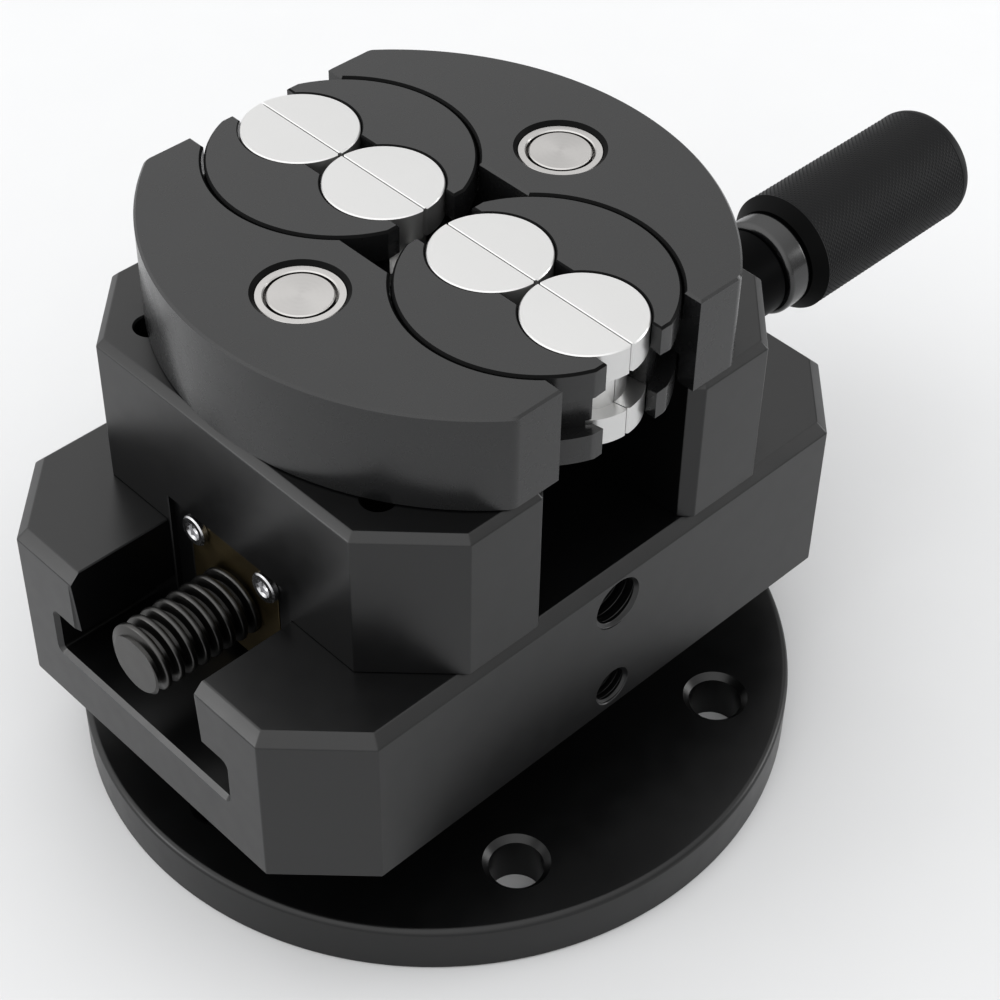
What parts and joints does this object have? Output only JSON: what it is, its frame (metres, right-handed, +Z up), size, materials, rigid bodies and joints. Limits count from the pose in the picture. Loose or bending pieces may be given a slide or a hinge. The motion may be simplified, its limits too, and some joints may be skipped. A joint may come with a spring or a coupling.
{
  "type": "fractal vise",
  "caption": "Self-centring bench vise whose nested half-disc jaws swing to fit odd shapes, on a round swivel base with a knurled lead screw handle.",
  "frame": {"origin": "centre of the underside of the round base plate", "axes": "+X along the lead screw towards the handle, +Z up, +Y to the rear"},
  "size_m": [0.158, 0.102, 0.0847],
  "materials": {
    "base_black": "satin black anodised aluminium",
    "body_black": "satin black anodised aluminium",
    "jaw_black": "satin black anodised aluminium",
    "handle_black": "semi-gloss black",
    "neck_black": "gloss black",
    "grip_black": "black knurl",
    "thread_steel": "blackened trapezoidal thread",
    "dark_steel": "blackened steel",
    "screw_steel": "bright screw steel",
    "pin_steel": "turned stainless steel",
    "bush_steel": "ground stainless steel",
    "disc_silver": "fine machined bright aluminium",
    "nut_brass": "dull brass",
    "bronze": "plain bronze"
  },
  "bodies": {
    "base": {"base_plate": "base_black", "swivel_post": "base_black", "post_screws": "screw_steel", "swivel_washer": "bronze", "swivel_cap": "dark_steel", "swivel_cap_screw": "screw_steel"},
    "vise": {"vise_body": "body_black", "swivel_lock_screws": "dark_steel", "yoke_base": "dark_steel", "yoke_cap": "dark_steel", "yoke_cap_screws": "screw_steel", "yoke_set_screws": "dark_steel"},
    "screw": {"lead_screw": "thread_steel", "handle_collar": "handle_black", "handle_neck": "neck_black", "handle_grip": "grip_black", "handle_set_screw": "dark_steel"},
    "left_slide": {"left_carrier": "body_black", "left_nut": "nut_brass", "left_nut_screws": "screw_steel", "left_pivot_pin": "pin_steel"},
    "left_jaw": {"left_big_jaw": "jaw_black", "left_pivot_bush": "bush_steel"},
    "left_medium_front": {"left_medium_jaw_front": "jaw_black"},
    "left_small_1": {"left_small_jaw_1": "disc_silver"},
    "left_small_2": {"left_small_jaw_2": "disc_silver"},
    "left_medium_rear": {"left_medium_jaw_rear": "jaw_black"},
    "left_small_3": {"left_small_jaw_3": "disc_silver"},
    "left_small_4": {"left_small_jaw_4": "disc_silver"},
    "right_slide": {"right_carrier": "body_black", "right_nut": "nut_brass", "right_nut_screws": "screw_steel", "right_pivot_pin": "pin_steel"},
    "right_jaw": {"right_big_jaw": "jaw_black", "right_pivot_bush": "bush_steel"},
    "right_medium_front": {"right_medium_jaw_front": "jaw_black"},
    "right_small_1": {"right_small_jaw_1": "disc_silver"},
    "right_small_2": {"right_small_jaw_2": "disc_silver"},
    "right_medium_rear": {"right_medium_jaw_rear": "jaw_black"},
    "right_small_3": {"right_small_jaw_3": "disc_silver"},
    "right_small_4": {"right_small_jaw_4": "disc_silver"}
  },
  "joints": [
    {"name": "base_swivel", "type": "hinge", "parent": "base", "child": "vise", "pos_m": [0, 0, 0.022], "axis": [0, 0, 1], "continuous": true},
    {"name": "screw_turn", "type": "hinge", "parent": "vise", "child": "screw", "pos_m": [0, 0, 0.042], "axis": [1, 0, 0], "range_deg": [0, 2701]},
    {"name": "left_travel", "type": "slide", "parent": "vise", "child": "left_slide", "axis": [-1, 0, 0], "range_m": [0, 0.015]},
    {"name": "left_swing", "type": "hinge", "parent": "left_slide", "child": "left_jaw", "pos_m": [-0.0217, 0, 0.0776], "axis": [0, 0, 1], "range_deg": [0, 3]},
    {"name": "left_medium_front_turn", "type": "hinge", "parent": "left_jaw", "child": "left_medium_front", "pos_m": [0, -0.0177, 0.0776], "axis": [0, 0, 1], "range_deg": [-32, 32]},
    {"name": "left_small_1_turn", "type": "hinge", "parent": "left_medium_front", "child": "left_small_1", "pos_m": [0, -0.0257, 0.0776], "axis": [0, 0, 1], "range_deg": [-60, 60]},
    {"name": "left_small_2_turn", "type": "hinge", "parent": "left_medium_front", "child": "left_small_2", "pos_m": [0, -0.0097, 0.0776], "axis": [0, 0, 1], "range_deg": [-60, 60]},
    {"name": "left_medium_rear_turn", "type": "hinge", "parent": "left_jaw", "child": "left_medium_rear", "pos_m": [0, 0.0177, 0.0776], "axis": [0, 0, 1], "range_deg": [-32, 32]},
    {"name": "left_small_3_turn", "type": "hinge", "parent": "left_medium_rear", "child": "left_small_3", "pos_m": [0, 0.0097, 0.0776], "axis": [0, 0, 1], "range_deg": [-60, 60]},
    {"name": "left_small_4_turn", "type": "hinge", "parent": "left_medium_rear", "child": "left_small_4", "pos_m": [0, 0.0257, 0.0776], "axis": [0, 0, 1], "range_deg": [-60, 60]},
    {"name": "right_travel", "type": "slide", "parent": "vise", "child": "right_slide", "axis": [1, 0, 0], "range_m": [0, 0.015]},
    {"name": "right_swing", "type": "hinge", "parent": "right_slide", "child": "right_jaw", "pos_m": [0.0217, 0, 0.0776], "axis": [0, 0, 1], "range_deg": [0, 3]},
    {"name": "right_medium_front_turn", "type": "hinge", "parent": "right_jaw", "child": "right_medium_front", "pos_m": [0, -0.0177, 0.0776], "axis": [0, 0, 1], "range_deg": [-32, 32]},
    {"name": "right_small_1_turn", "type": "hinge", "parent": "right_medium_front", "child": "right_small_1", "pos_m": [0, -0.0257, 0.0776], "axis": [0, 0, 1], "range_deg": [-60, 60]},
    {"name": "right_small_2_turn", "type": "hinge", "parent": "right_medium_front", "child": "right_small_2", "pos_m": [0, -0.0097, 0.0776], "axis": [0, 0, 1], "range_deg": [-60, 60]},
    {"name": "right_medium_rear_turn", "type": "hinge", "parent": "right_jaw", "child": "right_medium_rear", "pos_m": [0, 0.0177, 0.0776], "axis": [0, 0, 1], "range_deg": [-32, 32]},
    {"name": "right_small_3_turn", "type": "hinge", "parent": "right_medium_rear", "child": "right_small_3", "pos_m": [0, 0.0097, 0.0776], "axis": [0, 0, 1], "range_deg": [-60, 60]},
    {"name": "right_small_4_turn", "type": "hinge", "parent": "right_medium_rear", "child": "right_small_4", "pos_m": [0, 0.0257, 0.0776], "axis": [0, 0, 1], "range_deg": [-60, 60]}
  ],
  "couplings": [
    {"joint": "screw_turn", "follows": "left_travel", "rad_per_m": 3141.6},
    {"joint": "right_travel", "follows": "left_travel", "ratio": 1},
    {"joint": "right_swing", "follows": "left_swing", "ratio": 1},
    {"joint": "right_medium_front_turn", "follows": "left_medium_front_turn", "ratio": 1},
    {"joint": "right_small_1_turn", "follows": "left_small_1_turn", "ratio": 1},
    {"joint": "right_small_2_turn", "follows": "left_small_2_turn", "ratio": 1},
    {"joint": "right_medium_rear_turn", "follows": "left_medium_rear_turn", "ratio": 1},
    {"joint": "right_small_3_turn", "follows": "left_small_3_turn", "ratio": 1},
    {"joint": "right_small_4_turn", "follows": "left_small_4_turn", "ratio": 1}
  ]
}
